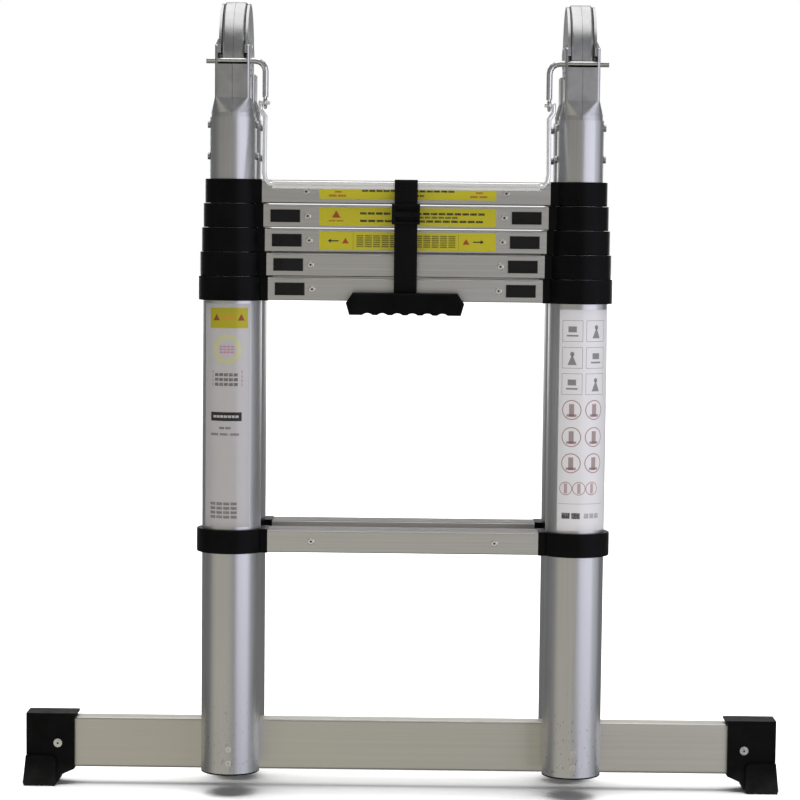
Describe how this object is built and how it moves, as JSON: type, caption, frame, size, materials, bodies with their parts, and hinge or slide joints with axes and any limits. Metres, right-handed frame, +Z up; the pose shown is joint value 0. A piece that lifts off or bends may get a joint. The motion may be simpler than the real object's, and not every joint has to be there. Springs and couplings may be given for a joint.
{
  "type": "telescoping ladder",
  "caption": "Folding telescopic aluminium A-frame ladder, closed, with locking hinges, stabiliser bar, carry strap and grip.",
  "frame": {"origin": "centre of the bounding box's bottom face, on the floor under the stabiliser feet", "axes": "+Z up along the tubes, +X along the rungs towards the right hand of someone facing the carry handle, +Y from the handle side to the rear half"},
  "size_m": [0.918, 0.1913, 0.947],
  "materials": {
    "tube_aluminium": "satin anodised, drawn lengthwise",
    "rung_aluminium": "satin anodised, extruded along the rung",
    "bar_aluminium": "satin anodised, extruded along the bar",
    "collar_plastic": "semi-matte moulded",
    "button_plastic": "matte moulded",
    "black_rubber": "matte moulded",
    "zinc_steel": "zinc plated, bright",
    "black_webbing": "woven webbing",
    "handle_plastic": "moulded grip"
  },
  "bodies": {
    "front_base": {"front_base_tubes": "tube_aluminium", "front_foot_plugs": "black_rubber", "front_base_collars": "collar_plastic", "front_lower_rung": "rung_aluminium", "front_rung_1": "rung_aluminium", "stabiliser_bar": "bar_aluminium", "stabiliser_feet": "black_rubber", "stabiliser_fasteners": "zinc_steel"},
    "rear_base": {"rear_base_tubes": "tube_aluminium", "rear_foot_plugs": "black_rubber", "rear_base_collars": "collar_plastic", "rear_lower_rung": "rung_aluminium", "rear_rung_1": "rung_aluminium"},
    "front_stage_2": {"front_stage_2_tubes": "tube_aluminium", "front_stage_2_collars": "collar_plastic", "front_stage_2_rung": "rung_aluminium"},
    "front_stage_3": {"front_stage_3_tubes": "tube_aluminium", "front_stage_3_collars": "collar_plastic", "front_stage_3_rung": "rung_aluminium"},
    "front_stage_4": {"front_stage_4_tubes": "tube_aluminium", "front_stage_4_collars": "collar_plastic", "front_stage_4_rung": "rung_aluminium"},
    "front_stage_5": {"front_stage_5_tubes": "tube_aluminium", "front_stage_5_collars": "collar_plastic", "front_stage_5_rung": "rung_aluminium", "front_hinge_arms": "zinc_steel", "hinge_axles": "zinc_steel", "carry_strap": "black_webbing", "carry_handle": "handle_plastic"},
    "rear_stage_2": {"rear_stage_2_tubes": "tube_aluminium", "rear_stage_2_collars": "collar_plastic", "rear_stage_2_rung": "rung_aluminium"},
    "rear_stage_3": {"rear_stage_3_tubes": "tube_aluminium", "rear_stage_3_collars": "collar_plastic", "rear_stage_3_rung": "rung_aluminium"},
    "rear_stage_4": {"rear_stage_4_tubes": "tube_aluminium", "rear_stage_4_collars": "collar_plastic", "rear_stage_4_rung": "rung_aluminium"},
    "rear_stage_5": {"rear_stage_5_tubes": "tube_aluminium", "rear_stage_5_collars": "collar_plastic", "rear_stage_5_rung": "rung_aluminium", "rear_hinge_arms": "zinc_steel"},
    "release_bail": {"lock_levers": "zinc_steel", "release_bar": "bar_aluminium"},
    "front_button_1_left": {"front_button_1_left": "button_plastic"},
    "front_button_1_right": {"front_button_1_right": "button_plastic"},
    "front_button_2_left": {"front_button_2_left": "button_plastic"},
    "front_button_2_right": {"front_button_2_right": "button_plastic"},
    "front_button_3_left": {"front_button_3_left": "button_plastic"},
    "front_button_3_right": {"front_button_3_right": "button_plastic"},
    "front_button_4_left": {"front_button_4_left": "button_plastic"},
    "front_button_4_right": {"front_button_4_right": "button_plastic"},
    "rear_button_1_left": {"rear_button_1_left": "button_plastic"},
    "rear_button_1_right": {"rear_button_1_right": "button_plastic"},
    "rear_button_2_left": {"rear_button_2_left": "button_plastic"},
    "rear_button_2_right": {"rear_button_2_right": "button_plastic"},
    "rear_button_3_left": {"rear_button_3_left": "button_plastic"},
    "rear_button_3_right": {"rear_button_3_right": "button_plastic"},
    "rear_button_4_left": {"rear_button_4_left": "button_plastic"},
    "rear_button_4_right": {"rear_button_4_right": "button_plastic"}
  },
  "joints": [
    {"name": "front_stage_2_slide", "type": "slide", "parent": "front_base", "child": "front_stage_2", "axis": [0, 0, 1], "range_m": [0, 0.2714]},
    {"name": "front_stage_3_slide", "type": "slide", "parent": "front_stage_2", "child": "front_stage_3", "axis": [0, 0, 1], "range_m": [0, 0.2714]},
    {"name": "front_stage_4_slide", "type": "slide", "parent": "front_stage_3", "child": "front_stage_4", "axis": [0, 0, 1], "range_m": [0, 0.2714]},
    {"name": "front_stage_5_slide", "type": "slide", "parent": "front_stage_4", "child": "front_stage_5", "axis": [0, 0, 1], "range_m": [0, 0.2714]},
    {"name": "hinge_fold", "type": "hinge", "parent": "front_stage_5", "child": "rear_stage_5", "pos_m": [0, 0.00235, 0.883], "axis": [1, 0, 0], "range_deg": [0, 180]},
    {"name": "rear_stage_4_slide", "type": "slide", "parent": "rear_stage_5", "child": "rear_stage_4", "axis": [0, 0, -1], "range_m": [0, 0.2714]},
    {"name": "rear_stage_3_slide", "type": "slide", "parent": "rear_stage_4", "child": "rear_stage_3", "axis": [0, 0, -1], "range_m": [0, 0.2714]},
    {"name": "rear_stage_2_slide", "type": "slide", "parent": "rear_stage_3", "child": "rear_stage_2", "axis": [0, 0, -1], "range_m": [0, 0.2714]},
    {"name": "rear_base_slide", "type": "slide", "parent": "rear_stage_2", "child": "rear_base", "axis": [0, 0, -1], "range_m": [0, 0.2714]},
    {"name": "release_bail_slide", "type": "slide", "parent": "front_stage_5", "child": "release_bail", "axis": [0, 1, 0], "range_m": [0, 0.005], "stiffness_N_per_m": 600, "springref_m": 0.012},
    {"name": "front_button_1_left_slide", "type": "slide", "parent": "front_base", "child": "front_button_1_left", "axis": [1, 0, 0], "range_m": [0, 0.0045], "stiffness_N_per_m": 400, "springref_m": -0.006},
    {"name": "front_button_1_right_slide", "type": "slide", "parent": "front_base", "child": "front_button_1_right", "axis": [-1, 0, 0], "range_m": [0, 0.0045], "stiffness_N_per_m": 400, "springref_m": -0.006},
    {"name": "front_button_2_left_slide", "type": "slide", "parent": "front_stage_2", "child": "front_button_2_left", "axis": [1, 0, 0], "range_m": [0, 0.0045], "stiffness_N_per_m": 400, "springref_m": -0.006},
    {"name": "front_button_2_right_slide", "type": "slide", "parent": "front_stage_2", "child": "front_button_2_right", "axis": [-1, 0, 0], "range_m": [0, 0.0045], "stiffness_N_per_m": 400, "springref_m": -0.006},
    {"name": "front_button_3_left_slide", "type": "slide", "parent": "front_stage_3", "child": "front_button_3_left", "axis": [1, 0, 0], "range_m": [0, 0.0045], "stiffness_N_per_m": 400, "springref_m": -0.006},
    {"name": "front_button_3_right_slide", "type": "slide", "parent": "front_stage_3", "child": "front_button_3_right", "axis": [-1, 0, 0], "range_m": [0, 0.0045], "stiffness_N_per_m": 400, "springref_m": -0.006},
    {"name": "front_button_4_left_slide", "type": "slide", "parent": "front_stage_4", "child": "front_button_4_left", "axis": [1, 0, 0], "range_m": [0, 0.0045], "stiffness_N_per_m": 400, "springref_m": -0.006},
    {"name": "front_button_4_right_slide", "type": "slide", "parent": "front_stage_4", "child": "front_button_4_right", "axis": [-1, 0, 0], "range_m": [0, 0.0045], "stiffness_N_per_m": 400, "springref_m": -0.006},
    {"name": "rear_button_1_left_slide", "type": "slide", "parent": "rear_base", "child": "rear_button_1_left", "axis": [1, 0, 0], "range_m": [0, 0.0045], "stiffness_N_per_m": 400, "springref_m": -0.006},
    {"name": "rear_button_1_right_slide", "type": "slide", "parent": "rear_base", "child": "rear_button_1_right", "axis": [-1, 0, 0], "range_m": [0, 0.0045], "stiffness_N_per_m": 400, "springref_m": -0.006},
    {"name": "rear_button_2_left_slide", "type": "slide", "parent": "rear_stage_2", "child": "rear_button_2_left", "axis": [1, 0, 0], "range_m": [0, 0.0045], "stiffness_N_per_m": 400, "springref_m": -0.006},
    {"name": "rear_button_2_right_slide", "type": "slide", "parent": "rear_stage_2", "child": "rear_button_2_right", "axis": [-1, 0, 0], "range_m": [0, 0.0045], "stiffness_N_per_m": 400, "springref_m": -0.006},
    {"name": "rear_button_3_left_slide", "type": "slide", "parent": "rear_stage_3", "child": "rear_button_3_left", "axis": [1, 0, 0], "range_m": [0, 0.0045], "stiffness_N_per_m": 400, "springref_m": -0.006},
    {"name": "rear_button_3_right_slide", "type": "slide", "parent": "rear_stage_3", "child": "rear_button_3_right", "axis": [-1, 0, 0], "range_m": [0, 0.0045], "stiffness_N_per_m": 400, "springref_m": -0.006},
    {"name": "rear_button_4_left_slide", "type": "slide", "parent": "rear_stage_4", "child": "rear_button_4_left", "axis": [1, 0, 0], "range_m": [0, 0.0045], "stiffness_N_per_m": 400, "springref_m": -0.006},
    {"name": "rear_button_4_right_slide", "type": "slide", "parent": "rear_stage_4", "child": "rear_button_4_right", "axis": [-1, 0, 0], "range_m": [0, 0.0045], "stiffness_N_per_m": 400, "springref_m": -0.006}
  ]
}
